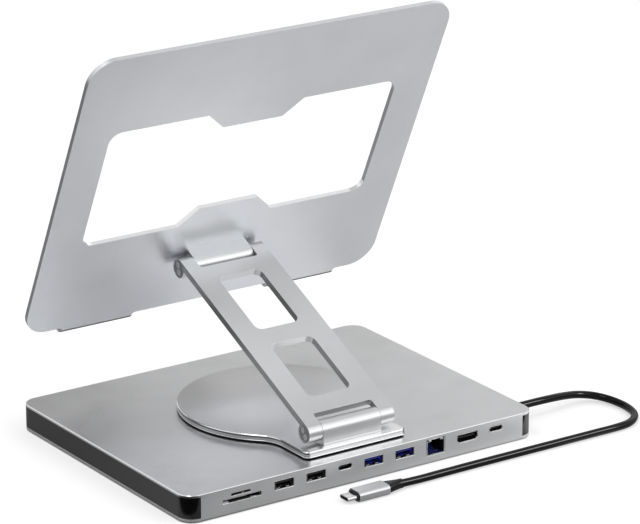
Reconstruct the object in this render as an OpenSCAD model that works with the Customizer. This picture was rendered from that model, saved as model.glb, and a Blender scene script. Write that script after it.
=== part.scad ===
// Laptop docking station: flat port hub, turntable, folding two-hinge stand and captive cord.
// Millimetres, +Z up, the port side faces -Y, the holder's front faces +Y and up.

/* [Hub] */
// Hub length along X
hub_w = 240; // [200:1:300]
// Hub depth along Y
hub_d = 183.6; // [150:0.2:220]
// Height of the hub body without its feet
hub_h = 15.4; // [14:0.1:24]
// Corner radius of the hub in plan
hub_r = 9.4; // [4:0.1:20]
// Thickness of the top skin
skin_top = 1.4; // [1:0.1:3]
// Thickness of the bottom plate
skin_bot = 1.4; // [1:0.1:3]
// Thickness of the long aluminium walls
wall = 2; // [1:0.1:4]
// Height of the rubber feet below the hub
foot_h = 1; // [0.5:0.1:4]

/* [Turntable] */
// Radius of the round turntable plate
disc_r = 59.2; // [40:0.1:80]
// Thickness of the turntable plate
disc_t = 4; // [2:0.1:8]
// Gap between hub top and turntable
disc_gap = 0.6; // [0.4:0.1:2]
// Half width of the straight tongue
tongue_hw = 34.6; // [20:0.1:50]
// Distance from hub centre to the tongue's front edge
tongue_y = 82.8; // [60:0.1:90]
// Swivel axis position along Y from the hub centre
swivel_y = -1.5; // [-10:0.5:10]

/* [Stand arm] */
// Distance between the two hinge axes
arm_len = 145.5; // [100:0.5:200]
// Arm angle above horizontal at rest
arm_ang = 25; // [15:1:70]
// Half width of the arm
arm_hw = 29.2; // [20:0.1:40]
// Thickness of the flat part of the arm
arm_t = 4.1; // [3:0.1:8]
// Radius of the hinge barrels
barrel_r = 5.8; // [4:0.1:9]
// Half width of the middle knuckles
knuckle_hw = 19.85; // [12:0.05:30]
// Side clearance of each knuckle
knuckle_gap = 0.15; // [0.1:0.05:1]
// Lower hinge axis from hub centre along Y
low_y = -72.5; // [-80:0.5:-40]
// Lower hinge axis height above the desk
low_z = 28.4; // [26:0.1:40]
// Hinge pin diameter
pin_d = 5; // [3:0.1:8]

/* [Holder plate] */
// Width of the holder plate
plate_w = 244.6; // [180:0.2:300]
// Height of the holder plate
plate_h = 204.4; // [150:0.2:260]
// Sheet thickness of the holder plate
plate_t = 2.8; // [2:0.1:5]
// Holder lean from vertical at rest
plate_lean = 25.6; // [0:0.1:60]
// Length of plate below the upper hinge axis
plate_below = 37; // [20:0.5:60]
// Distance from the upper hinge axis to the plate's back
plate_off = 7.5; // [6.5:0.1:12]
// Corner radius of the plate
plate_r = 16; // [4:0.5:30]
// Clear depth between plate and upturned lip
lip_depth = 15; // [8:0.5:30]
// Height of the upturned lip tip above the lip floor
lip_up = 9.5; // [4:0.5:20]

/* [Cord] */
// Diameter of the captive cord
cord_d = 4.6; // [3:0.1:6]

/* [Hidden] */
$fa = 4; $fs = 0.4;
z0 = foot_h;                    // underside of the hub
z1 = foot_h + skin_bot;         // top of the bottom plate
z3 = foot_h + hub_h;            // top of the hub
z2 = z3 - skin_top;             // underside of the top skin
yw = -hub_d/2;                  // port wall outer face
dz0 = z3 + disc_gap;            // underside of the turntable
dz1 = dz0 + disc_t;             // top of the turntable
up_y = low_y + arm_len*cos(arm_ang);
up_z = low_z + arm_len*sin(arm_ang);
lip_ro = 3.9;                   // outer radius of the lip bends
lip_zc = -plate_below - 1.7;    // height of the bend centres below the upper axis
lip_yb = plate_off + 2*plate_t + lip_depth;
y_front = up_y + (lip_yb - lip_ro)*cos(plate_lean) - lip_zc*sin(plate_lean) + lip_ro;
by = -(y_front + yw)/2;         // hub centre in Y, so the whole object is centred
pcb_z1 = 7.7; pcb_t = 1.6; pcb_z0 = pcb_z1 - pcb_t;
alu = [0.70, 0.71, 0.72]; steel = [0.62, 0.63, 0.65]; dark = [0.10, 0.10, 0.11];

usb2_x = [-55.4, -33.9];        // black-tongue sockets
usb3_x = [5.4, 26.9];           // blue-tongue sockets
usbc_x = [-14.2, 91.4];
usba_z = 10.5; usbc_z = 11.4; hdmi_x = 71; hdmi_z = 10.5;
rj_x = 48.6; rj_z0 = 5.1; rj_z1 = 13.3; rj_nt = 14.4;
sd_x = -83.5; sd_z = 8.5; msd_x = -84.3; msd_z = 11.8;
screw_xy = [[-105,-84],[105,-84],[-105,84],[105,84],[-36,84],[36,84]];
board_xy = [[-101,-57],[-20,-57],[36,-57],[98,-57]];
lip_x0 = 47.8; lip_x1 = 95.6;
cap_y = [-40, 60];              // fixing lugs of the end caps
screw_a = [29, 53];             // turn of the barrel screws, lower and upper

// cord centre line, from inside the hub, round the loop, to the plug
cord_pts = [[108.4,-65,8.7],[115,-65,8.7],[122,-65,8.7],[131,-65,8.7],[140,-65,8.7],[148,-64.8,8.5],[156,-64,7.9],
  [164,-62.8,6.9],[172,-62.2,5.7],[178.4,-63.6,4.7],[183.5,-66.7,3.9],[187.3,-71.7,3.2],[189.5,-78.4,2.8],
  [190.3,-87,2.45],[188.9,-95.4,2.32],[185.6,-102,2.32],[180.2,-107.4,2.32],[173,-110.9,2.32],[163,-112,2.32],
  [150,-112,2.32],[130,-112,2.32],[105,-112,2.32],[80,-112,2.32],[55,-112.1,2.32],[36,-112.4,2.33],
  [24,-112.8,2.45],[14,-113.2,2.8],[6,-113.3,3.1],[2,-113.3,3.1]];
plug_y = -113.3; plug_z = 3.1;

module rrect(w, d, r) {
  square([w - 2*r, d], center = true);
  square([w, d - 2*r], center = true);
  for (sx = [-1,1], sy = [-1,1]) translate([sx*(w/2 - r), sy*(d/2 - r)]) circle(r);
}
// slot with round ends
module slot_2d(w, h) { square([w - h, h], center = true); for (s = [-1,1]) translate([s*(w - h)/2, 0]) circle(h/2); }
module hub() { translate([0, by, 0]) children(); }
module at_arm() { translate([0, by + low_y, low_z]) rotate([arm_ang,0,0]) children(); }
module at_plate() { translate([0, by + up_y, up_z]) rotate([plate_lean,0,0]) children(); }
// profile drawn in the YZ plane, pushed along X from x0 to x1
module along_x(x0, x1) { translate([x0,0,0]) rotate([90,0,90]) linear_extrude(x1 - x0) children(); }
// profile drawn in the XZ plane, pushed along +Y from y0 to y1
module along_y(y0, y1) { translate([0,y1,0]) rotate([90,0,0]) linear_extrude(y1 - y0) children(); }
module cyl_x(r, x0, x1) { translate([x0,0,0]) rotate([0,90,0]) cylinder(r = r, h = x1 - x0); }

/* hub */
module usb_a_hole() { square([13.3, 5.8], center = true); }
module hdmi_2d(w, h, c) { polygon([[-w/2,h/2],[w/2,h/2],[w/2,-h/2 + c],[w/2 - c,-h/2],[-w/2 + c,-h/2],[-w/2,-h/2 + c]]); }
module rj_2d(g) {
  translate([-6 - g, rj_z0 + 0.1 - g]) square([12 + 2*g, rj_z1 - rj_z0 - 0.2 + 2*g]);
  translate([-3.3 - g, rj_z0 + 1]) square([6.6 + 2*g, rj_nt - rj_z0 - 1.2 + g]);
}
module port_holes() {
  for (x = concat(usb2_x, usb3_x)) translate([x, usba_z]) usb_a_hole();
  for (x = usbc_x) translate([x, usbc_z]) slot_2d(9.7, 3.7);
  translate([hdmi_x, hdmi_z]) hdmi_2d(14.9, 5.3, 1.5);
  translate([rj_x - 6.7, rj_z0 - 0.5]) square([13.4, rj_nt - rj_z0 + 0.9]);
  translate([sd_x, sd_z]) square([25.4, 2.4], center = true);
  translate([msd_x, msd_z]) square([12.6, 1.5], center = true);
}
module hub_shell() color(alu) hub() difference() {
  union() {
    translate([0,0,z2]) linear_extrude(skin_top) rrect(hub_w, hub_d, hub_r);
    for (s = [-1,1]) translate([-(hub_w/2 - hub_r), s > 0 ? hub_d/2 - wall : -hub_d/2, z0]) cube([hub_w - 2*hub_r, wall, z2 - z0 + 0.01]);
    for (p = screw_xy) translate([p[0], p[1], z1]) cylinder(d = 6, h = z2 - z1 + 0.2);
    // pads that carry the end caps
    for (s = [-1,1], y = cap_y) translate([s*104, y, z2 - 3]) cylinder(d = 6, h = 3.2);
    translate([0, swivel_y, z2 - 1.6]) cylinder(r = 24, h = 1.8);
  }
  along_y(yw - 1, yw + wall + 1) port_holes();
  for (p = screw_xy) translate([p[0], p[1], z1 - 1]) cylinder(d = 2.1, h = 8);
  for (s = [-1,1], y = cap_y) translate([s*104, y, z2 - 4]) cylinder(d = 2, h = 3.4);
  translate([0, swivel_y, z2 - 5]) cylinder(r = 9.05, h = 12);
}
module hub_bottom() color([0.66,0.67,0.68]) hub() difference() {
  union() {
    translate([0,0,z0]) linear_extrude(skin_bot) difference() {
      rrect(hub_w, hub_d, hub_r);
      for (s = [-1,1]) translate([0, s*hub_d/2]) square([hub_w - 2*hub_r + 0.1, 2*wall + 0.1], center = true);
    }
    for (p = board_xy) translate([p[0], p[1], z1 - 0.1]) cylinder(d = 5.4, h = pcb_z0 - z1 + 0.1);
  }
  for (p = screw_xy) translate([p[0], p[1], z0 - 1]) { cylinder(d = 2.4, h = 8); cylinder(d = 4.6, h = 1.8); }
  for (p = board_xy) translate([p[0], p[1], z1]) cylinder(d = 2, h = 8);
  for (s = [-1,1]) translate([0, s*66, z0 - 0.1]) linear_extrude(0.7) slot_2d(190.1, 12.1);
  for (x = [-60 : 10 : 60]) translate([x, 20, z0 - 1]) linear_extrude(6) rotate(90) slot_2d(26, 4);
}
module cap_2d() {
  difference() {
    rrect(hub_w, hub_d, hub_r);
    rrect(hub_w - 4.4, hub_d - 4.4, hub_r - 2.2);
    square([hub_w - 2*hub_r, hub_d + 2], center = true);
  }
}
module cap_body(s) {
  intersection() {
    translate([0,0,z1]) linear_extrude(z2 - z1) cap_2d();
    translate([s*150, 0, 0]) cube([300, 400, 100], center = true);
  }
  // lugs that are screwed up against the fixing pads of the shell
  for (y = cap_y) difference() {
    translate([s*109, y, z2 - 4.2]) cube([18, 10, 2.4], center = true);
    translate([s*104, y, z2 - 8]) cylinder(d = 2.4, h = 8);
  }
}
module end_cap_left() color(dark) hub() cap_body(-1);
module end_cap_right() color(dark) hub() difference() {
  cap_body(1);
  translate([100, -65, 8.7]) rotate([0,90,0]) cylinder(d = 6.4, h = 30);
}
module cap_screws() color(steel) hub()
  for (s = [-1,1], y = cap_y) translate([s*104, y, z2 - 6.4]) difference() {
    union() { cylinder(d = 4, h = 1); cylinder(d = 1.9, h = 5.4); }
    translate([0,0,-1]) cylinder(d = 1.8, h = 1.6, $fn = 6);
  }
module feet() color([0.07,0.07,0.07]) hub()
  for (s = [-1,1]) translate([0, s*66, 0]) linear_extrude(z0 + 0.55) slot_2d(190, 12);
module bottom_screws() color(steel) hub()
  for (p = screw_xy) translate([p[0], p[1], z0 + 0.05]) difference() {
    union() { cylinder(d = 4.4, h = 0.72); cylinder(d = 2, h = 6.5); }
    translate([0,0,-1]) cylinder(d = 1.6, h = 1.5, $fn = 6);
  }

/* electronics */
module mainboard() color([0.05,0.22,0.12]) hub() difference() {
  translate([-107.5, -89.4, pcb_z0]) cube([215, 41, pcb_t]);
  for (p = screw_xy) translate([p[0], p[1], 0]) cylinder(d = 8, h = 20);
  for (s = [-1,1]) translate([s*105 - 4 , -95, 0]) cube([8, 11, 20]);
  for (p = board_xy) translate([p[0], p[1], 0]) cylinder(d = 2.2, h = 20);
  translate([rj_x - 7, -95, 0]) cube([14, 24.2, 20]);
  translate([-99.5, -95, 0]) cube([31, 36, 20]);
}
module cord_header() color([0.85,0.84,0.80]) hub() {
  translate([101, -68.5, pcb_z1]) cube([7.4, 7, 3.4]);
  translate([107.6, -68.5, pcb_z0 - 0.4]) cube([0.8, 7, 3.4]);
}
module board_chips() color([0.06,0.06,0.07]) hub() {
  translate([-8, -66, pcb_z1]) cube([10, 10, 1.1]);
  translate([20, -66, pcb_z1]) cube([8, 8, 1]);
  translate([-50, -64, pcb_z1]) cube([7, 7, 0.9]);
  translate([43, -66, pcb_z1]) cube([13, 12, 4.2]);
  translate([68, -64, pcb_z1]) cube([7, 7, 0.9]);
}
module board_screws() color(steel) hub()
  for (p = board_xy) translate([p[0], p[1], z1 + 0.3]) difference() {
    union() { cylinder(d = 1.9, h = pcb_z1 - z1); translate([0,0,pcb_z1 - z1 - 0.3]) cylinder(d = 3.8, h = 1.1); }
    translate([0,0,pcb_z1 - z1 + 0.2]) cylinder(d = 1.7, h = 2, $fn = 6);
  }
module usb_a_shells() color(steel) hub()
  for (x = concat(usb2_x, usb3_x)) translate([x, 0, usba_z]) difference() {
    along_y(yw + 0.1, yw + 14.3) square([13.1, 5.6], center = true);
    along_y(yw - 1, yw + 13.8) square([12.5, 5], center = true);
  }
module tongue_a(x) translate([x, 0, usba_z]) {
  translate([-5.55, yw + 1.6, 0.35]) cube([11.1, 12.1, 1.7]);
  translate([-6.2, yw + 11.3, -2.45]) cube([12.4, 2.4, 4.9]);
}
module usb_a_tongues_black() color([0.05,0.05,0.06]) hub() for (x = usb2_x) tongue_a(x);
module usb_a_tongues_blue() color([0.04,0.06,0.42]) hub() for (x = usb3_x) tongue_a(x);
module usb_a_contacts() color([0.80,0.62,0.25]) hub()
  for (x = concat(usb2_x, usb3_x), k = [-1.5 : 1 : 1.5]) translate([x + 2.3*k - 0.5, yw + 2.2, usba_z + 0.13]) cube([1, 8, 0.22]);
module usb_c_shells() color(steel) hub()
  for (x = usbc_x) translate([x, 0, usbc_z]) {
    difference() {
      along_y(yw + 0.1, yw + 9) slot_2d(9.4, 3.4);
      along_y(yw - 1, yw + 8.5) slot_2d(8.8, 2.8);
    }
    for (s = [-1,1], y = [3.2, 7]) translate([s*3.4 - 0.5, yw + y, pcb_z1 - usbc_z]) cube([1, 1.2, usbc_z - pcb_z1 - 1.5]);
  }
module usb_c_tongues() color([0.05,0.05,0.06]) hub()
  for (x = usbc_x) translate([x, 0, usbc_z]) {
    translate([-3.35, yw + 1.4, -0.35]) cube([6.7, 7, 0.7]);
    along_y(yw + 6.6, yw + 8.45) slot_2d(8.7, 2.7);
  }
module hdmi_shell() color(steel) hub() translate([hdmi_x, 0, hdmi_z]) {
  difference() {
    along_y(yw + 0.1, yw + 11.6) hdmi_2d(14.7, 5.1, 1.4);
    along_y(yw - 1, yw + 11.1) hdmi_2d(14.1, 4.5, 1.3);
  }
  for (s = [-1,1], y = [3.2, 9]) translate([s*5.2 - 0.6, yw + y, pcb_z1 - hdmi_z]) cube([1.2, 1.4, hdmi_z - pcb_z1 - 2.4]);
}
module hdmi_tongue() color([0.05,0.05,0.06]) hub() translate([hdmi_x, 0, hdmi_z]) {
  translate([-6, yw + 1.4, -0.35]) cube([12, 9, 1]);
  along_y(yw + 9, yw + 11.05) hdmi_2d(14, 4.4, 1.25);
}
module ethernet_shell() color(steel) hub() translate([rj_x, 0, 0]) difference() {
  along_y(yw + 0.15, yw + 20.5) translate([-6.6, rj_z0 - 0.4]) square([13.2, rj_nt - rj_z0 + 0.7]);
  along_y(yw + 0.55, yw + 20.1) translate([-6.2, rj_z0]) square([12.4, rj_nt - rj_z0 - 0.1]);
  along_y(yw - 1, yw + 2) rj_2d(0);
  // two small light windows beside the latch notch
  for (s = [-1,1]) along_y(yw - 1, yw + 2) translate([s*5, rj_z1 + 0.5]) circle(0.45);
}
module ethernet_insert() color([0.05,0.06,0.16]) hub() translate([rj_x, 0, 0]) difference() {
  along_y(yw + 0.6, yw + 19.8) translate([-6.15, rj_z0 + 0.05]) square([12.3, rj_nt - rj_z0 - 0.2]);
  along_y(yw - 1, yw + 14) translate([-5.85, rj_z0 + 0.3]) square([11.7, rj_z1 - rj_z0 - 0.6]);
  along_y(yw - 1, yw + 12) translate([-3.15, rj_z0 + 1]) square([6.3, rj_nt - rj_z0 - 1.35]);
}
module ethernet_contacts() color([0.82,0.66,0.28]) hub()
  for (k = [-3.5 : 1 : 3.5]) translate([rj_x + 1.02*k, 0, 0])
    along_x(-0.2, 0.2) polygon([[yw + 4, rj_z0 + 0.3],[yw + 13.9, rj_z0 + 3],[yw + 13.9, rj_z0 + 3.5],[yw + 4, rj_z0 + 0.8]]);
module card_reader() color([0.06,0.06,0.07]) hub() difference() {
  translate([sd_x - 14.2, yw + 2.1, pcb_z0]) cube([28.4, 27, 7.2]);
  along_y(yw - 1, yw + 24) translate([sd_x, sd_z]) square([24.8, 2.2], center = true);
  along_y(yw - 1, yw + 15) translate([msd_x, msd_z]) square([12, 1.2], center = true);
}
module card_reader_cover() color(steel) hub() difference() {
  translate([sd_x - 14.6, yw + 2.6, pcb_z0 + 0.4]) cube([29.2, 26.3, 7.2]);
  translate([sd_x - 14.25, yw + 1, pcb_z0 - 1]) cube([28.5, 30, 8.25]);
}

/* cord */
module cord_gland() color([0.06,0.06,0.06]) hub() translate([0, -65, 8.7]) difference() {
  union() {
    cyl_x(3.15, 116.6, 120);
    cyl_x(4.4, 115.4, 117.7);
    translate([120,0,0]) rotate([0,90,0]) cylinder(r1 = 3.15, r2 = 2.75, h = 4.5);
  }
  cyl_x(cord_d/2 - 0.06, 110, 130);
}
function crv(a, b, c, d, t) = 0.5*((2*b) + (c - a)*t + (2*a - 5*b + 4*c - d)*t*t + (3*b - a - 3*c + d)*t*t*t);
function cidx(i, n) = min(max(i, 0), n - 1);
function smooth(p, m) = let (n = len(p)) concat([for (i = [0 : n - 2]) for (k = [0 : m - 1])
  crv(p[cidx(i - 1, n)], p[i], p[i + 1], p[cidx(i + 2, n)], k/m)], [p[n - 1]]);
function unit(v) = v/norm(v);
module tube(p, r, s) {
  n = len(p);
  t = [for (i = [0 : n - 1]) unit(p[min(i + 1, n - 1)] - p[max(i - 1, 0)])];
  pts = [for (i = [0 : n - 1]) let (sd = unit(cross(t[i], [0,0,1])), u = cross(sd, t[i]))
    for (k = [0 : s - 1]) p[i] + r*(cos(360*(k + 0.5)/s)*sd + sin(360*(k + 0.5)/s)*u)];
  sides = [for (i = [0 : n - 2]) for (k = [0 : s - 1]) let (a = i*s + k, b = i*s + (k + 1)%s) [a, a + s, b + s, b]];
  polyhedron(points = pts, faces = concat(sides, [[for (k = [0 : s - 1]) k]], [[for (k = [s - 1 : -1 : 0]) (n - 1)*s + k]]));
}
module cord() color([0.03,0.03,0.03]) hub() tube(smooth(cord_pts, 2), cord_d/2, 10);
module plug_relief() color([0.05,0.05,0.05]) hub() translate([0, plug_y, plug_z]) difference() {
  union() {
    intersection() {
      translate([0,0,-5]) linear_extrude(10) polygon([[-2,-5],[0,-4.9],[8,-3],[9.5,-2.9],[9.5,2.9],[8,3],[0,4.9],[-2,5]]);
      along_y(-6, 6) polygon([[-2,-2.6],[0,-2.65],[9.5,-2.85],[9.5,2.85],[0,2.85],[-2,2.8]]);
      union() { along_x(-2, 1.6) rrect(10, 5.5, 2.2); translate([1.5,0,0]) rotate([0,90,0]) cylinder(r = 4.7, h = 3.1); translate([4.5,0,0]) rotate([0,90,0]) cylinder(r = 3.9, h = 5); }
    }
    cyl_x(2.2, -6, -1.9);
  }
  cyl_x(cord_d/2 - 0.06, 1.9, 12);
}
module plug_shell() color([0.66,0.67,0.68]) hub() translate([0, plug_y, plug_z]) difference() {
  along_x(-22.6, -2) rrect(11.6, 6.2, 2.6);
  along_x(-24, -3.2) rrect(10.4, 5, 2.1);
  cyl_x(2.3, -4, 0);
}
module plug_insert() color([0.04,0.04,0.04]) hub() translate([0, plug_y, plug_z]) difference() {
  along_x(-23.4, -8) rrect(10.3, 4.9, 2.05);
  along_x(-24, -18) slot_2d(8.4, 2.56);
}
module plug_tip() color([0.72,0.72,0.74]) hub() translate([0, plug_y, plug_z]) difference() {
  along_x(-29.8, -18.1) slot_2d(8.3, 2.46);
  along_x(-31, -19) slot_2d(7.5, 1.7);
}
module plug_tongue() color([0.05,0.05,0.05]) hub() translate([0, plug_y, plug_z]) difference() {
  along_x(-29.2, -19.1) slot_2d(7.4, 1.6);
  along_x(-31, -24) square([6.8, 0.8], center = true);
}

/* turntable */
module slip_ring() color([0.05,0.05,0.05]) hub() translate([0, swivel_y, z3]) difference() {
  cylinder(r = 54, h = disc_gap - 0.05);
  translate([0,0,-1]) cylinder(r = 44, h = 4);
}
module pivot_bushing() color([0.85,0.83,0.78]) hub() translate([0, swivel_y, 0]) difference() {
  union() {
    translate([0,0,z2 - 1.6]) cylinder(r = 9, h = skin_top + 1.6);
    translate([0,0,z2 - 2.8]) cylinder(r = 13, h = 1.2);
  }
  cylinder(r = 7.05, h = 40);
}
module pivot_bolt() color(steel) hub() translate([0, swivel_y, 0]) {
  translate([0,0,z2 - 7.4]) cylinder(r = 7, h = 7.4 + skin_top + disc_gap);
  for (a = [0 : 120 : 240]) rotate(a + 30) translate([4.4, 0, dz0]) cylinder(r = 1, h = 2.4);
}
module pivot_washer() color([0.55,0.55,0.57]) hub() translate([0, swivel_y, z2 - 4]) difference() {
  cylinder(r = 12.5, h = 1.15);
  translate([0,0,-1]) cylinder(r = 7.1, h = 4);
}
module pivot_nut() color(steel) hub() translate([0, swivel_y, z2 - 7.2]) difference() {
  cylinder(r = 11.4, h = 3.15, $fn = 6);
  translate([0,0,-1]) cylinder(r = 7.04, h = 6);
}
module turntable_2d(i) {
  f = 20;                       // concave corner between disc and tongue
  c = 3.5;                      // rounded front corners of the tongue
  cx = tongue_hw + f; cy = -sqrt(pow(disc_r + f, 2) - pow(cx, 2));
  k = disc_r/(disc_r + f);
  translate([0, swivel_y]) circle(disc_r - i);
  translate([-(tongue_hw - i), -tongue_y + c]) square([2*(tongue_hw - i), tongue_y - c + swivel_y]);
  translate([-(tongue_hw - c), -tongue_y + i]) square([2*(tongue_hw - c), 10]);
  for (s = [-1,1]) translate([s*(tongue_hw - c), -tongue_y + c]) circle(c - i);
  for (s = [-1,1]) difference() {
    polygon([[0, swivel_y],[s*cx*k, swivel_y + cy*k],[s*cx, swivel_y + cy],[0, swivel_y + cy]]);
    translate([s*cx, swivel_y + cy]) circle(f + i);
  }
}
module turntable() color(alu) hub() difference() {
  union() {
    translate([0,0,dz0]) linear_extrude(1.3) turntable_2d(0.35);
    translate([0,0,dz0 + 1.3]) linear_extrude(disc_t - 2.1) turntable_2d(0);
    translate([0,0,dz1 - 0.8]) linear_extrude(0.8) turntable_2d(0.5);
  }
  for (x = [-13, 13]) translate([x, low_y, dz0 - 1]) { cylinder(d = 3.3, h = 9); cylinder(d = 5.8, h = 2.6); }
  for (a = [0 : 120 : 240]) translate([0, swivel_y, dz0 - 1]) rotate(a + 30) translate([4.4, 0, 0]) cylinder(r = 1.05, h = 3.45);
}

/* lower hinge */
module lower_bracket() color(alu) hub() difference() {
  along_x(-knuckle_hw, knuckle_hw) difference() {
    union() {
      translate([low_y, low_z]) circle(barrel_r);
      translate([low_y - barrel_r, dz1]) square([2*barrel_r, low_z - dz1]);
      translate([low_y - barrel_r - 0.85, dz1]) square([2*barrel_r + 1.7, 1.15]);
    }
    for (s = [-1,1]) translate([low_y + s*(barrel_r + 1), dz1 + 1.25]) circle(1);
  }
  translate([0, low_y, low_z]) cyl_x(3.6, -40, 40);
  for (x = [-13, 13]) translate([x, low_y, dz1 - 1]) cylinder(d = 2.9, h = 4.4);
}
module lower_bracket_screws() color(steel) hub()
  for (x = [-13, 13]) translate([x, low_y, dz0 + 0.1]) difference() {
    union() { cylinder(d = 5.6, h = 1.4); cylinder(d = 2.8, h = 6.9); }
    translate([0,0,-1]) cylinder(d = 2.3, h = 2, $fn = 6);
  }
module lower_bushings() color([0.72,0.55,0.30]) hub() translate([0, low_y, low_z])
  for (s = [-1,1]) difference() { cyl_x(3.58, min(s*5, s*19.5), max(s*5, s*19.5)); cyl_x(pin_d/2 + 0.05, -30, 30); }
// stub pin with the flange that takes the cap screws, axis on local X
module stub(s, a) difference() {
  union() { cyl_x(pin_d/2, min(s*7, s*25), max(s*7, s*25)); cyl_x(4.2, min(s*24.4, s*27), max(s*24.4, s*27)); }
  for (k = [-1,1]) rotate([a,0,0]) translate([0, k*2.2, 0]) cyl_x(0.85, min(s*24.6, s*30), max(s*24.6, s*30));
}
module lower_pins() color(steel) at_arm() for (s = [-1,1]) stub(s, screw_a[0]);
module upper_pins() color(steel) at_arm() translate([0, arm_len, 0]) for (s = [-1,1]) stub(s, screw_a[1]);

/* arm */
module arm_side_2d() {
  translate([0, barrel_r - arm_t]) square([arm_len, arm_t]);
  for (y = [0, arm_len]) translate([y, 0]) circle(barrel_r);
}
module arm() color([0.74,0.75,0.76]) at_arm() difference() {
  along_x(-arm_hw, arm_hw) arm_side_2d();
  // clearance for the knuckles at both ends
  for (e = [0,1]) translate([0, e*arm_len + (e ? 6 : -6), -15]) linear_extrude(30) rrect(2*(knuckle_hw + knuckle_gap), 28.2, 1.5);
  // the two windows
  translate([0,0,-5]) linear_extrude(20) {
    translate([0, 43.25]) rrect(29.6, 45.8, 4.5);
    translate([0, 102.85]) rrect(29.6, 47.4, 4.5);
  }
  // bores and cap recesses
  for (y = [0, arm_len]) translate([0, y, 0]) {
    cyl_x(pin_d/2 + 0.02, -40, 40);
    for (s = [-1,1]) {
      cyl_x(4.25, min(s*24.35, s*40), max(s*24.35, s*40));
      cyl_x(4.85, min(s*27.6, s*40), max(s*27.6, s*40));
    }
  }
}
module caps_at(y, a) translate([0, y, 0]) for (s = [-1,1]) difference() {
  cyl_x(4.8, min(s*27.62, s*arm_hw), max(s*27.62, s*arm_hw));
  for (k = [-1,1]) rotate([a,0,0]) translate([0, k*2.2, 0]) {
    cyl_x(0.9, -40, 40);
    cyl_x(1.95, min(s*28.6, s*30), max(s*28.6, s*30));
  }
}
module barrel_caps() color([0.16,0.16,0.17]) at_arm() { caps_at(0, screw_a[0]); caps_at(arm_len, screw_a[1]); }
module barrel_cap_screws() color([0.30,0.30,0.32]) at_arm() for (e = [0,1], s = [-1,1], k = [-1,1])
  translate([0, e*arm_len, 0]) rotate([screw_a[e],0,0]) translate([0, k*2.2, 0]) difference() {
    union() { cyl_x(0.8, min(s*24.9, s*28.9), max(s*24.9, s*28.9)); cyl_x(1.85, min(s*28.62, s*29.3), max(s*28.62, s*29.3)); }
    translate([s*29.6, 0, 0]) { cube([1.1, 0.5, 2.4], center = true); cube([1.1, 2.4, 0.5], center = true); }
  }

/* upper hinge and holder plate */
module upper_bushings() color([0.72,0.55,0.30]) at_plate()
  for (s = [-1,1]) difference() { cyl_x(3.58, min(s*5, s*19.5), max(s*5, s*19.5)); cyl_x(pin_d/2 + 0.05, -30, 30); }
module upper_bracket() color([0.76,0.77,0.78]) at_plate() difference() {
  along_x(-knuckle_hw, knuckle_hw) union() {
    circle(barrel_r);
    translate([0, -barrel_r]) square([plate_off, 2*barrel_r]);
  }
  cyl_x(3.6, -40, 40);
  for (x = [-15, -5, 5, 15]) translate([x, plate_off + 0.5, 0]) rotate([90,0,0]) cylinder(d = 2.5, h = 3.9);
}
module upper_bracket_screws() color(steel) at_plate()
  for (x = [-15, -5, 5, 15]) translate([x, plate_off + plate_t - 0.1, 0]) rotate([90,0,0]) difference() {
    union() { cylinder(d = 4.8, h = 1.2); cylinder(d = 2.4, h = 5.9); }
    translate([0,0,-1]) cylinder(d = 2, h = 1.9, $fn = 6);
  }
module plate_2d() {
  wz0 = 26.7; wz1 = 112; ww = 97.8; wr = 8;
  difference() {
    translate([0, plate_h/2 - plate_below]) rrect(plate_w, plate_h, plate_r);
    difference() {
      translate([0, (wz0 + wz1)/2]) rrect(2*ww, wz1 - wz0, wr);
      polygon([[-32.6, wz0 - 1],[-32.6, wz0],[-20, 38.4],[20, 38.4],[32.6, wz0],[32.6, wz0 - 1]]);
      polygon([[-32.6, wz1 + 1],[-32.6, wz1],[-20.3, 100.6],[20.3, 100.6],[32.6, wz1],[32.6, wz1 + 1]]);
    }
  }
  // necks of the two lips, with small concave corners
  for (s = [-1,1]) difference() {
    translate([s*(lip_x0 + lip_x1)/2 - (lip_x1 - lip_x0)/2 - 2, -plate_below - 1.7]) square([lip_x1 - lip_x0 + 4, 2]);
    for (x = [lip_x0 - 2, lip_x1 + 2]) translate([s*x, -plate_below - 2]) circle(2);
  }
}
module lip_2d() {
  y0 = plate_off; ro = lip_ro; ri = ro - plate_t; yb = lip_yb; zc = lip_zc;
  // first bend, floor, second bend, upturned end
  translate([y0 + ro, zc]) intersection() {
    difference() { circle(ro); circle(ri); }
    translate([-ro, -ro]) square([ro, ro]);
  }
  translate([y0 + ro, zc - ro]) square([yb - y0 - 2*ro, plate_t]);
  translate([yb - ro, zc]) intersection() {
    difference() { circle(ro); circle(ri); }
    translate([0, -ro]) square([ro, ro]);
  }
  translate([yb - plate_t, zc - 0.01]) square([plate_t, lip_up - ro - plate_t/2 + plate_t]);
  translate([yb - plate_t/2, zc + lip_up - ro + plate_t/2]) circle(plate_t/2);
}
module holder_plate() color([0.72,0.73,0.74]) at_plate() difference() {
  union() {
    along_y(plate_off, plate_off + plate_t) plate_2d();
    for (s = [-1,1]) along_x(min(s*lip_x0, s*lip_x1), max(s*lip_x0, s*lip_x1)) lip_2d();
  }
  for (x = [-15, -5, 5, 15]) translate([x, plate_off + plate_t + 1, 0]) rotate([90,0,0]) { cylinder(d = 2.6, h = 9); cylinder(d = 5, h = 2.35); }
}
module plate_pads() color([0.13,0.13,0.14]) at_plate() translate([0, plate_off + plate_t, 0]) {
  for (s = [-1,1]) translate([s*76, 0, 10]) along_y(0, 1.2) rrect(60, 12, 4);
  for (s = [-1,1]) translate([s*76, 0, 138]) along_y(0, 1.2) rrect(60, 12, 4);
}
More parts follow.
